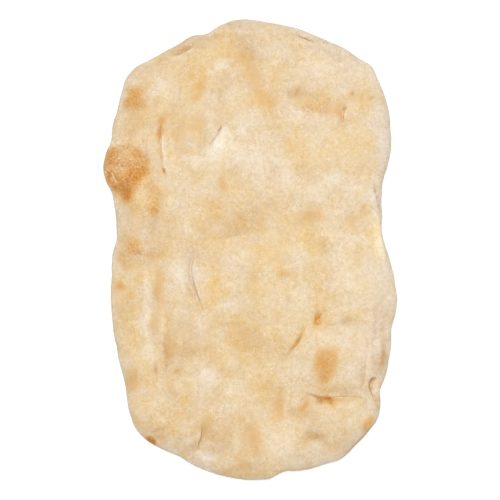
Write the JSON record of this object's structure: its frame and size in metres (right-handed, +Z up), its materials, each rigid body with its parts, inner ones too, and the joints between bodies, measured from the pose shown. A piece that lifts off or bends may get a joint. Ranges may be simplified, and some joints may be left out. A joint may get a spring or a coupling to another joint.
{
  "type": "pinsa base",
  "caption": "Plain baked pinsa flatbread base: an oval slab of airy dough with a rounded rim, swollen bubbles, dimples, folds and a browned blister, ready for topping.",
  "frame": {"origin": "under the middle of the bread's outline, on the plane of its flat underside", "axes": "+X across the bread, +Y along it, +Z up out of its top; the browned blister is on the -X side"},
  "size_m": [0.1905, 0.3, 0.0194],
  "materials": {
    "crust": "matte"
  },
  "bodies": {
    "root": {"pinsa_base": "crust"}
  },
  "joints": []
}
